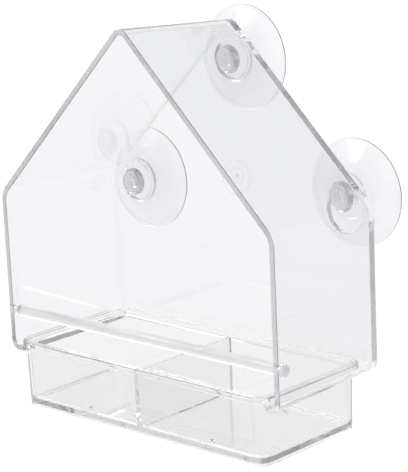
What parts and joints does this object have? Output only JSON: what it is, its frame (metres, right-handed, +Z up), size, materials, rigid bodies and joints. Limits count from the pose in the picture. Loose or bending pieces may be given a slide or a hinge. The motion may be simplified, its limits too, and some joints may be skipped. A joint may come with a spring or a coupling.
{
  "type": "window bird feeder",
  "caption": "Clear house-shaped bird feeder for a window: an open-fronted shell on suction cups, with a perch and a slide-in divided seed tray.",
  "frame": {"origin": "centre of the bounding box in plan, at the level of the tray's foot", "axes": "+Z up, +Y from the open front towards the window, +X to the right as a bird on the perch sees it"},
  "size_m": [0.1596, 0.0754, 0.1659],
  "materials": {
    "clear_shell": "clear polished polystyrene",
    "clear_tray": "clear polished polystyrene",
    "clear_rod": "clear polished rod",
    "soft_clear": "soft clear vinyl, smooth"
  },
  "bodies": {
    "house": {"house_shell": "clear_shell"},
    "tray": {"tray": "clear_tray"},
    "perch": {"perch": "clear_rod"},
    "cup_top": {"suction_cup_top": "soft_clear"},
    "cup_left": {"suction_cup_left": "soft_clear"},
    "cup_right": {"suction_cup_right": "soft_clear"}
  },
  "joints": [
    {"name": "tray_slide", "type": "slide", "parent": "house", "child": "tray", "axis": [0, -1, 0], "range_m": [0, 0.058]},
    {"name": "perch_turn", "type": "hinge", "parent": "house", "child": "perch", "pos_m": [0, -0.03122, 0.0397], "axis": [1, 0, 0], "continuous": true},
    {"name": "cup_top_slide", "type": "slide", "parent": "house", "child": "cup_top", "axis": [0, 0, 1], "range_m": [-0.006, 0.0065]},
    {"name": "cup_left_slide", "type": "slide", "parent": "house", "child": "cup_left", "axis": [0, 0, 1], "range_m": [-0.006, 0.0065]},
    {"name": "cup_right_slide", "type": "slide", "parent": "house", "child": "cup_right", "axis": [0, 0, 1], "range_m": [-0.0125, 0]}
  ]
}
